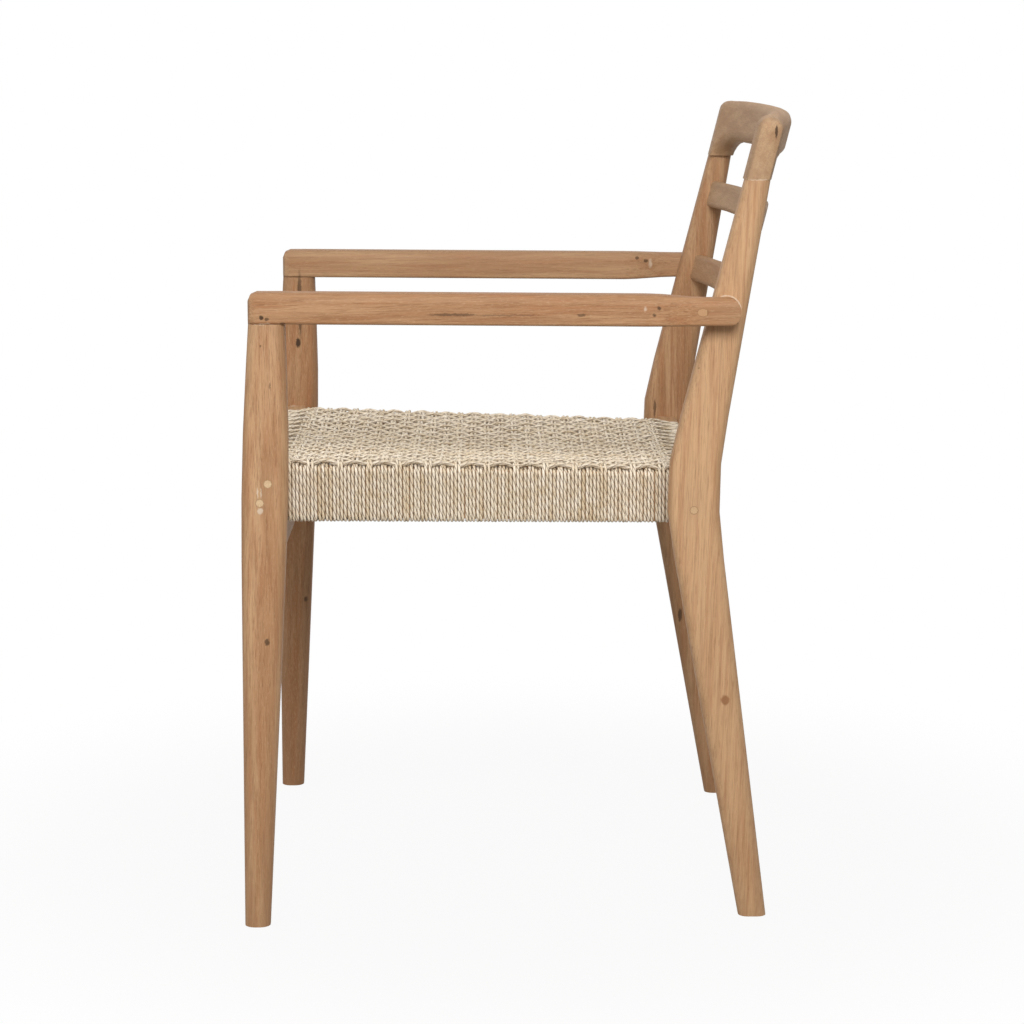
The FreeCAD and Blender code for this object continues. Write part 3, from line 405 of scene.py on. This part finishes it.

# Node, run of the grain, heart of the rings, and the plank's tone, figure, depth of colour and greyness.
LEG_PLANKS = (
    ("front_leg_left", (0.02, 0.015, 1), (-70, 34, 0), 0.2, 1.0, 0.04, 0.03),
    ("front_leg_right", (-0.02, 0.02, 1), (60, -40, 50), 0.3, 1.1, 0.35, 0.0),
    ("back_leg_left", (0.01, 0.03, 1), (-46, 60, 0), -0.6, 0.75, 0.0, 0.0),
    ("back_leg_right", (0.015, -0.02, 1), (50, 48, 80), 0.2, 1.0, 0.15, 0.0),
)
ARM_PLANKS = (
    ("armrest_left", (0.01, 1, 0.03), (-60, 0, 34), 0.3, 1.2, 0.26, 0.0),
    ("armrest_right", (-0.015, 1, 0.01), (55, 40, 60), 0.2, 1.0, 0.2, 0.2),
)
BACK_PLANKS = (
    ("crest_rail", (1, 0.01, 0.02), (0, 66, -40), 0.0, 0.9, 0.0, 0.4),
    ("upper_back_slat", (1, 0.02, 0.015), (30, -50, 36), -0.2, 0.9, 0.0, 0.45),
    ("lower_back_slat", (1, -0.01, 0.02), (-40, 48, 44), 0.2, 0.9, 0.12, 0.25),
)
SEAT_PLANKS = (
    ("front_seat_rail", (1, 0.02, 0.01), (0, 50, 50), 0.0, 0.8, 0.0, 0.0),
    ("back_seat_rail", (1, 0.01, 0.02), (20, -44, 60), 0.1, 0.8, 0.0, 0.0),
    ("side_seat_rail_left", (0, 1, 0.01), (40, 0, 50), 0.1, 1.0, 0.0, 0.0),
    ("side_seat_rail_right", (0, 1, 0.02), (-40, 0, 50), 0.1, 1.0, 0.0, 0.0),
    ("front_apron", (1, 0.015, 0.02), (10, 40, -60), 0.1, 0.8, 0.1, 0.0),
    ("arm_tenons", (0, 0, 1), (30, 30, 0), 0.1, 1.0, 0.0, 0.0),
    ("crest_tenons", (0, 0, 1), (30, -30, 0), 0.1, 1.0, 0.0, 0.0),
)


def merged_shape(node):
    """A copy of a node's shape, its loose triangles joined."""
    shape = bmesh.new()
    shape.from_mesh(NODES[node].data)
    bmesh.ops.remove_doubles(shape, verts=shape.verts, dist=MERGE)
    return shape


def wood_piece(node, along, heart, tone, figure, deep, plank_grey):
    """A node's shape with soft shading, its place in the plank that it was sawn from and its greyer rounded edges.

    along is the run of the grain, heart the middle of the growth rings from the piece's middle, in millimetres;
    tone, figure, deep and dust are the plank's warmth, strength of figure, depth of colour and greyness."""
    shape = merged_shape(node)
    for face in shape.faces:
        face.smooth = True
    for edge in shape.edges:
        edge.smooth = len(edge.link_faces) == 2 and edge.calc_face_angle() < SHARP
    low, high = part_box(node)
    middle = (low + high) / 2
    run = Vector(along).normalized()
    across = run.orthogonal().normalized()
    turn = Matrix((across, run.cross(across), run))
    grain = shape.verts.layers.float_vector.new("grain")
    plank = shape.verts.layers.float_vector.new("plank")
    grey_layer = shape.verts.layers.float.new("edge")
    shape.normal_update()
    for vert in shape.verts:
        vert[grain] = turn @ (vert.co - middle - Vector(heart) * MM)
        vert[plank] = (tone, figure, deep + FOOT_DEPTH * max(0.0, 1 - vert.co.z / FOOT_REACH))
        # A plank's greyness, plus more grey on the rounded edges, where a face turns between two axes.
        vert[grey_layer] = plank_grey + EDGE_GREY * (1 - max(abs(part) for part in vert.normal)) / ROUND_EDGE
    name = f"{node}_wood"
    mesh = shape_mesh(shape, name)
    # The CAD node's own normals would keep its facets in sight.
    if "custom_normal" in mesh.attributes:
        mesh.attributes.remove(mesh.attributes["custom_normal"])
    piece = add_piece(name, mesh, material("sanded teak", teak), "teak", node)
    if node not in ROUND_PIECES:
        piece.modifiers.new("even normals", "WEIGHTED_NORMAL").keep_sharp = True


def dress(planks):
    """Make the wood pieces of a group."""
    for plank in planks:
        wood_piece(*plank)


def peg_piece(node):
    """The pegs of a node, with a rim round each end where it meets the wood."""
    shape = merged_shape(node)
    bmesh.ops.dissolve_limit(shape, angle_limit=PEG_FLAT, verts=shape.verts, edges=shape.edges)
    ends = [face for face in shape.faces if len(face.verts) >= PEG_CORNERS]
    bmesh.ops.inset_individual(shape, faces=ends, thickness=PEG_RIM)
    rim = shape.verts.layers.float.new("rim")
    tone = shape.verts.layers.float.new("tone")
    inner = {vert for face in ends for vert in face.verts}
    for vert in shape.verts:
        vert[rim] = 0.0 if vert in inner else 1.0
        vert[tone] = PEG_TONES[node] if vert.co.y > 0 else 0.0
    name = f"{node}_ends"
    add_piece(name, shape_mesh(shape, name), material("pale peg end grain", peg_wood), "peg_wood", node)


# Cord pieces

X_AXIS, Y_AXIS = 0, 1
# Reach of the two plies' outline at each of its corners, as a share of the cord's radius.
PLY_OUTLINE = (1.0, 0.97, 0.74, 0.97, 1.0, 0.97, 0.74, 0.97)
# Rings of corners that the two closed ends add to a cord.
CAP_RINGS = 2
# Spread of the cords' twist, in radians, and of their colour.
TWIST_SPREAD = 0.25
TINT_SPREAD = 0.1

# A turn of cord: the rounding of its corners, and the steps in which it goes down a rail's outer face.
CORNER = 2.5 * MM
SIDE_STEPS = 6
# Points of a turn where a cord from the weave joins it: the middle of the rail's top, and its outer corner.
FROM_TOP = 4
FROM_CORNER = 6
# The wound side rails, and the pairs of cord that go over them to the other side.
WALL_THICKNESS = 29 * MM
WALL_DEPTH_FRONT = 60 * MM
WALL_DEPTH_BACK = 55.5 * MM
PAIR_PITCH = 14.83 * MM
FIRST_PAIR = -234 * MM
# Room that the windings leave beside the front and the back rail, in cord diameters.
END_ROOM = 0.6
# Wound turns between the long pairs on the front and the back rail.
TURNS_BETWEEN = 2
# The weave lies on the wound side rails: its first long pair runs this far inside their outer faces, the turns
# under it lie this much below the seat's edge, and the weave's middle this much above it.
EDGE_INSET = 8 * MM
WALL_DROP = 1.2 * MM
WEAVE_RISE = 1.7 * MM
# How far the cords that cross the first long pair, and the long cords on the end rails, stand proud.
PROUD = 1.0 * MM
# Share of the sag that is gone at the front and the back of the seat.
END_SAG_LOSS = 0.65
# How far the cords stray from their places and lean, and how unevenly they rise and fall in the weave.
SIDE_STRAY, SIDE_LEAN = 0.2 * MM, 0.3 * MM
END_STRAY, END_LEAN = 0.15 * MM, 0.5 * MM
WEAVE_STRAY, CROSS_LEAN, LONG_LEAN = 0.9 * MM, 0.25 * MM, 0.5 * MM
SWING_LEAST, SWING_MOST = 0.7, 1.3
# Seeds of the straying.
SIDE_SEED = 11
END_SEEDS = {"front": 23, "back": 29}
CROSS_SEED = 31
LONG_SEED = 37


def cord_profile(diameter):
    """Two plies side by side: an eight-cornered outline with a waist, as a closed curve."""
    profile = bpy.data.curves.new("cord_profile", "CURVE")
    profile.dimensions = "2D"
    outline = profile.splines.new("POLY")
    outline.points.add(len(PLY_OUTLINE) - 1)
    for index, (point, share) in enumerate(zip(outline.points, PLY_OUTLINE)):
        angle = index * math.tau / len(PLY_OUTLINE)
        reach = diameter / 2 * share
        point.co = (reach * math.cos(angle), reach * math.sin(angle), 0, 1)
    outline.use_cyclic_u = True
    profile_object = bpy.data.objects.new("cord_profile", profile)
    bpy.context.scene.collection.objects.link(profile_object)
    return profile_object


def cord_piece(name, routes, beside, *replaced, steps=5, follow=0.0):
    """Cords along smooth lines through their routes' points, twisted, as one mesh.

    beside is the axis towards the next cord, steps how finely a line is drawn from point to point, and follow how
    far a turn's lay lies beyond that of the turn before."""
    cord = bpy.context.scene.armchair_cord
    chance = random.Random(name)
    profile = cord_profile(cord.diameter)
    lines = bpy.data.curves.new(f"{name}_lines", "CURVE")
    lines.dimensions = "3D"
    lines.bevel_mode = "OBJECT"
    lines.bevel_object = profile
    lines.use_fill_caps = True
    lines.resolution_u = steps
    tints = []
    for index, route in enumerate(routes):
        line = lines.splines.new("NURBS")
        line.points.add(len(route) - 1)
        turned = chance.uniform(0, math.pi) if follow == 0 else index * follow / cord.lay * math.tau
        turned += chance.gauss(0, TWIST_SPREAD)
        before = route[0]
        for point, place in zip(line.points, route):
            turned -= (place - before).length / cord.lay * math.tau
            point.co = (*place, 1)
            point.tilt = turned
            before = place
        line.order_u = 3
        line.use_endpoint_u = True
        rings = (len(route) - 1) * steps + CAP_RINGS
        tints += [chance.gauss(0, TINT_SPREAD)] * (rings * len(PLY_OUTLINE))
    line_object = bpy.data.objects.new(f"{name}_lines", lines)
    bpy.context.scene.collection.objects.link(line_object)
    evaluated = line_object.evaluated_get(bpy.context.evaluated_depsgraph_get())
    mesh = bpy.data.meshes.new_from_object(evaluated)
    mesh.name = name
    for data_object in (line_object, profile):
        data = data_object.data
        bpy.data.objects.remove(data_object)
        bpy.data.curves.remove(data)
    mesh.shade_smooth()
    # Painted shade in the groove between the two plies: its corners are marked for darkening in the material.
    lowest = min(PLY_OUTLINE)
    groove_shades = [1.0 if share == lowest else 0.0 for share in PLY_OUTLINE]
    # Painted shade between neighbouring cords: each corner is marked by how far it faces the next cord.
    corners = numpy.empty(3 * len(mesh.vertices))
    mesh.vertices.foreach_get("co", corners)
    corners = corners.reshape(-1, len(groove_shades), 3)
    reach = corners - corners.mean(axis=1, keepdims=True)
    gap_shades = abs(reach[..., beside]) / numpy.linalg.norm(reach, axis=2)
    values = {"ply_shade": groove_shades * len(corners), "gap": gap_shades.ravel(), "tint": tints}
    for attribute, numbers in values.items():
        mesh.attributes.new(attribute, "FLOAT", "POINT").data.foreach_set("value", numbers)
    add_piece(name, mesh, material("twisted paper cord", paper_cord), "seat_cord", *replaced)


def stray(chance, most):
    """A chance shift of up to this much either way."""
    return chance.uniform(-most, most)


def share_back(y):
    """How far a place is from the front of the seat to its back."""
    return (y - FRONT_HIGH.y) / (BACK_LOW.y - FRONT_HIGH.y)


def seat_top(y):
    """Height of the seat's edge at a place along it."""
    return FRONT_HIGH.z + (BACK_HIGH.z - FRONT_HIGH.z) * min(max(share_back(y), 0), 1)


def seat_edge(y):
    """Half the width of the seat at a place along it."""
    return FRONT_HIGH.x + (BACK_HIGH.x - FRONT_HIGH.x) * share_back(y)


def weave_level(x, y):
    """Height of the middle of the woven seat."""
    cord = bpy.context.scene.armchair_cord
    across = x / seat_edge(y)
    along = 2 * share_back(y) - 1
    dip = (1 - across ** 2) ** 2 * (1 - END_SAG_LOSS * along ** 2)
    return seat_top(y) + WEAVE_RISE - cord.sag * dip


def ring_points(outer, inner, top, bottom, lift=0.0):
    """A turn of cord round a rail, seen along it: from its inner lower corner over the top, down and under."""
    c = math.copysign(CORNER, outer - inner)
    high = top - 2 * CORNER
    low = bottom + CORNER
    down = [(outer, high + (low - high) * step / SIDE_STEPS) for step in range(SIDE_STEPS + 1)]
    return [(inner, low), (inner, (top + bottom) / 2), (inner, high), (inner + c, top + lift - 0.4 * CORNER),
            ((outer + inner) / 2, top + lift), (outer - c, top + lift), (outer, top + lift - CORNER),
            *down, (outer - c, bottom), (inner + c, bottom)]


def side_turn(side, y, lean):
    """A turn of cord round a side rail at a place along it."""
    radius = bpy.context.scene.armchair_cord.diameter / 2
    outer = side * (seat_edge(y) - radius)
    inner = side * (seat_edge(y) - WALL_THICKNESS + radius)
    top = seat_top(y) - WALL_DROP - radius
    bottom = seat_top(y) - WALL_DEPTH_FRONT + (WALL_DEPTH_FRONT - WALL_DEPTH_BACK) * share_back(y) + radius
    return [Vector((x, y + lean * (top - z) / (top - bottom), z))
            for x, z in ring_points(outer, inner, top, bottom)]


def end_turn(end, x, lean, lift=0.0):
    """A turn of cord round the front or the back rail."""
    radius = bpy.context.scene.armchair_cord.diameter / 2
    low, high = (FRONT_LOW, FRONT_HIGH) if end == "front" else (BACK_LOW, BACK_HIGH)
    outer, inner = (low.y + radius, high.y - radius) if end == "front" else (high.y - radius, low.y + radius)
    top = high.z - radius
    bottom = low.z + radius
    return [Vector((x + lean * (top - z) / (top - bottom), y, z))
            for y, z in ring_points(outer, inner, top, bottom, lift)]


def closed(turn):
    """A turn that ends on its own start."""
    return turn + [turn[0] + Vector((0, 0, CORNER / 2))]


def turns_between(start, stop, count):
    """Places of the turns between two pairs, whose own cords take up a step on each side of their middles."""
    step = (stop - start) / (count + 2)
    return [start + step * (1.5 + index) for index in range(count)]


def cross_places():
    """Places along the seat of the pairs that run from side to side, with one pushed close up to each end rail."""
    count = bpy.context.scene.armchair_cord.cross_pairs
    steps = [-0.5, *range(count), count - 0.5]
    return [FIRST_PAIR + step * PAIR_PITCH for step in steps]


def long_places(half):
    """Places across the seat of the pairs that run from front to back, where it has this half width."""
    count = bpy.context.scene.armchair_cord.long_pairs
    return [(half - EDGE_INSET) * (2 * index / (count - 1) - 1) for index in range(count)]


def side_winding_routes(side):
    """The turns between the pairs that go round a side rail, and on to the front and the back rail."""
    cord = bpy.context.scene.armchair_cord
    chance = random.Random(SIDE_SEED + side)
    pairs = cross_places()
    places = []
    for start, stop in zip(pairs, pairs[1:]):
        places += turns_between(start, stop, round((stop - start) / cord.strand) - 2)
    room = END_ROOM * cord.diameter
    for pair, step in ((pairs[0], -cord.strand), (pairs[-1], cord.strand)):
        place = pair + 1.5 * step
        while FRONT_HIGH.y + room < place < BACK_LOW.y - room:
            places.append(place)
            place += step
    return [closed(side_turn(side, y + stray(chance, SIDE_STRAY), stray(chance, SIDE_LEAN))) for y in sorted(places)]


def end_winding_routes(end):
    """The turns between the long pairs on the front or the back rail, and one at each end of it."""
    radius = bpy.context.scene.armchair_cord.diameter / 2
    chance = random.Random(END_SEEDS[end])
    half = FRONT_HIGH.x if end == "front" else BACK_HIGH.x
    pairs = long_places(half)
    places = [radius - half, half - radius]
    for start, stop in zip(pairs, pairs[1:]):
        places += turns_between(start, stop, TURNS_BETWEEN)
    return [closed(end_turn(end, x + stray(chance, END_STRAY), stray(chance, END_LEAN))) for x in sorted(places)]


def swing(chance, over):
    """Rise of a cord's point over a pair or its fall under it: the smooth line goes half as far as its points."""
    reach = 2 * bpy.context.scene.armchair_cord.rise * chance.uniform(SWING_LEAST, SWING_MOST)
    return reach if over else -reach


def cross_routes():
    """Cords from side to side, over and under the long pairs and round the side rails."""
    cord = bpy.context.scene.armchair_cord
    chance = random.Random(CROSS_SEED)
    routes = []
    for pair, middle in enumerate(cross_places()):
        for y in (middle - cord.strand / 2, middle + cord.strand / 2):
            row = []
            for index, x in enumerate(long_places(seat_edge(y))):
                level = weave_level(x, y) + swing(chance, (index + pair) % 2 == 0)
                row.append(Vector((x, y + stray(chance, WEAVE_STRAY), level)))
            if pair % 2 == 0:
                row[0].z += PROUD
                row[-1].z += PROUD
            lean = stray(chance, CROSS_LEAN)
            right, left = (side_turn(side, y, lean)[FROM_CORNER:] for side in (-1, 1))
            routes.append(right[::-1] + row + left)
    return routes


def long_routes():
    """Cords from front to back, over and under the cross pairs and round the front and back rails."""
    cord = bpy.context.scene.armchair_cord
    chance = random.Random(LONG_SEED)
    routes = []
    for index, (front_x, back_x) in enumerate(zip(long_places(FRONT_HIGH.x), long_places(BACK_HIGH.x))):
        for offset in (-cord.strand / 2, cord.strand / 2):
            row = []
            for pair, y in enumerate(cross_places()):
                x = front_x + (back_x - front_x) * share_back(y) + offset
                level = weave_level(x, y) + swing(chance, (index + pair) % 2)
                row.append(Vector((x + stray(chance, WEAVE_STRAY), y, level)))
            lean = stray(chance, LONG_LEAN)
            front = end_turn("front", front_x + offset, lean, PROUD)[FROM_TOP:]
            back = end_turn("back", back_x + offset, lean, PROUD)[FROM_TOP:]
            routes.append(front[::-1] + row + back)
    return routes


# Stage

# Lamps: place, diameter and power as a share of the key light's.
LAMPS = {
    "key lamp": ((2.6, 0.15, 1.9), 1.3, 1.0),
    "front lamp": ((1.0, -2.7, 1.6), 2.2, 0.3),
    "top lamp": ((0.2, 0.3, 3.2), 2.6, 0.12),
}
LAMP_AIM = Vector((0, 0, 0.45))
FLOOR_REACH = 12


def set_camera(scene):
    """The camera, almost square to the chair's left side."""
    stage = scene.armchair_stage
    forward = Vector((-math.cos(stage.pitch) * math.cos(stage.yaw), math.cos(stage.pitch) * math.sin(stage.yaw),
                      -math.sin(stage.pitch)))
    right = forward.cross(Vector((0, 0, 1))).normalized()
    facing = Matrix((right, right.cross(forward), -forward)).transposed()
    camera = bpy.data.objects.new("camera", bpy.data.cameras.new("camera"))
    camera.data.sensor_width = 36
    camera.data.lens = stage.lens
    camera.data.clip_end = 100
    camera.matrix_world = (Matrix.Translation(stage.camera_place)
                           @ (facing @ Matrix.Rotation(stage.roll, 3, "Z")).to_4x4())
    scene.collection.objects.link(camera)
    scene.camera = camera


def set_lamps(scene):
    """Large soft lamps, aimed at the middle of the chair."""
    for name, (place, diameter, share) in LAMPS.items():
        lamp = bpy.data.objects.new(name, bpy.data.lights.new(name, "AREA"))
        lamp.data.shape = "DISK"
        lamp.data.size = diameter
        lamp.data.energy = share * scene.armchair_stage.key
        lamp.location = place
        lamp.rotation_euler = (LAMP_AIM - lamp.location).to_track_quat("-Z", "Y").to_euler()
        scene.collection.objects.link(lamp)


def set_floor(scene):
    """The plain floor under the chair."""
    shape = bmesh.new()
    bmesh.ops.create_grid(shape, x_segments=8, y_segments=8, size=FLOOR_REACH)
    floor = bpy.data.objects.new("studio_floor", shape_mesh(shape, "studio_floor"))
    floor.data.materials.append(material("matt pale floor", studio_floor))
    scene.collection.objects.link(floor)


def set_world(scene):
    """Even light all round, which looks white to the eye."""
    world = bpy.data.worlds.new("studio")
    world.use_nodes = True
    tree = world.node_tree
    tree.nodes.clear()
    strength = add_node(tree, "ShaderNodeMapRange", {"Value": seen_directly(tree),
                                                     "To Min": scene.armchair_stage.sky, "To Max": 1.0})
    light = add_node(tree, "ShaderNodeBackground", {"Color": (1, 1, 1, 1), "Strength": strength.outputs[0]})
    add_node(tree, "ShaderNodeOutputWorld", {"Surface": light.outputs[0]})
    scene.world = world
    scene.view_settings.view_transform = "Standard"


# Operators

class ARMCHAIR_OT_stage(bpy.types.Operator):
    """Set the camera, the lamps, the floor and the even light"""
    bl_idname = "armchair.stage"
    bl_label = "Stage"

    def execute(self, context):
        for part in (set_camera, set_lamps, set_floor, set_world):
            part(context.scene)
        return {"FINISHED"}


class ARMCHAIR_OT_legs(bpy.types.Operator):
    """Dress the front legs and the back legs with their posts in teak"""
    bl_idname = "armchair.legs"
    bl_label = "Legs"

    def execute(self, context):
        dress(LEG_PLANKS)
        return {"FINISHED"}


class ARMCHAIR_OT_arms(bpy.types.Operator):
    """Dress the armrests in teak"""
    bl_idname = "armchair.arms"
    bl_label = "Arms"

    def execute(self, context):
        dress(ARM_PLANKS)
        return {"FINISHED"}


class ARMCHAIR_OT_back(bpy.types.Operator):
    """Dress the crest rail and the back slats in teak"""
    bl_idname = "armchair.back"
    bl_label = "Back"

    def execute(self, context):
        dress(BACK_PLANKS)
        return {"FINISHED"}


class ARMCHAIR_OT_seat_frame(bpy.types.Operator):
    """Dress the seat rails, the apron and the loose tenons in teak"""
    bl_idname = "armchair.seat_frame"
    bl_label = "Seat frame"

    def execute(self, context):
        dress(SEAT_PLANKS)
        return {"FINISHED"}


class ARMCHAIR_OT_pegs(bpy.types.Operator):
    """Dress the pegs of the rails and the arms"""
    bl_idname = "armchair.pegs"
    bl_label = "Pegs"

    def execute(self, context):
        for node in PEG_TONES:
            peg_piece(node)
        return {"FINISHED"}


class ARMCHAIR_OT_side_windings(bpy.types.Operator):
    """Wind cord round the side rails"""
    bl_idname = "armchair.side_windings"
    bl_label = "Side windings"

    def execute(self, context):
        for end, side in (("left", 1), ("right", -1)):
            cord_piece(f"side_winding_{end}", side_winding_routes(side), Y_AXIS, f"side_wrap_{end}",
                       follow=context.scene.armchair_cord.strand)
        return {"FINISHED"}


class ARMCHAIR_OT_end_windings(bpy.types.Operator):
    """Wind cord round the front and the back rail"""
    bl_idname = "armchair.end_windings"
    bl_label = "Front and back windings"

    def execute(self, context):
        for end in ("front", "back"):
            cord_piece(f"{end}_winding", end_winding_routes(end), X_AXIS, f"{end}_wrap", steps=4,
                       follow=context.scene.armchair_cord.strand)
        return {"FINISHED"}


class ARMCHAIR_OT_weave(bpy.types.Operator):
    """Weave the seat from pairs of cord, in two halves each way"""
    bl_idname = "armchair.weave"
    bl_label = "Woven seat"

    def execute(self, context):
        for name, routes, beside, steps in (("cross_cords", cross_routes(), Y_AXIS, 6),
                                            ("long_cords", long_routes(), X_AXIS, 5)):
            half = len(routes) // 2
            cord_piece(f"{name}_first", routes[:half], beside, "seat_weave", steps=steps)
            cord_piece(f"{name}_second", routes[half:], beside, "seat_weave", steps=steps)
        return {"FINISHED"}


STEPS = (ARMCHAIR_OT_stage, ARMCHAIR_OT_legs, ARMCHAIR_OT_arms, ARMCHAIR_OT_back, ARMCHAIR_OT_seat_frame,
         ARMCHAIR_OT_pegs, ARMCHAIR_OT_side_windings, ARMCHAIR_OT_end_windings, ARMCHAIR_OT_weave)
GROUPS = {"armchair_wood": ArmchairWood, "armchair_cord": ArmchairCord, "armchair_stage": ArmchairStage}


class ARMCHAIR_PT_panel(bpy.types.Panel):
    """Settings and steps of the garden armchair"""
    bl_idname = "ARMCHAIR_PT_panel"
    bl_label = "Garden armchair"
    bl_space_type = "VIEW_3D"
    bl_region_type = "UI"
    bl_category = "Armchair"

    def draw(self, context):
        for name, group in GROUPS.items():
            box = self.layout.box()
            for setting in group.__annotations__:
                box.prop(getattr(context.scene, name), setting)
        for step in STEPS:
            self.layout.operator(step.bl_idname)


def register():
    for name, group in GROUPS.items():
        bpy.utils.register_class(group)
        setattr(bpy.types.Scene, name, PointerProperty(type=group))
    for step in STEPS:
        bpy.utils.register_class(step)
    bpy.utils.register_class(ARMCHAIR_PT_panel)


def unregister():
    bpy.utils.unregister_class(ARMCHAIR_PT_panel)
    for step in reversed(STEPS):
        bpy.utils.unregister_class(step)
    for name, group in GROUPS.items():
        delattr(bpy.types.Scene, name)
        bpy.utils.unregister_class(group)


def main():
    register()
    for step in STEPS:
        group, name = step.bl_idname.split(".")
        getattr(getattr(bpy.ops, group), name)()


if __name__ == "__main__":
    main()
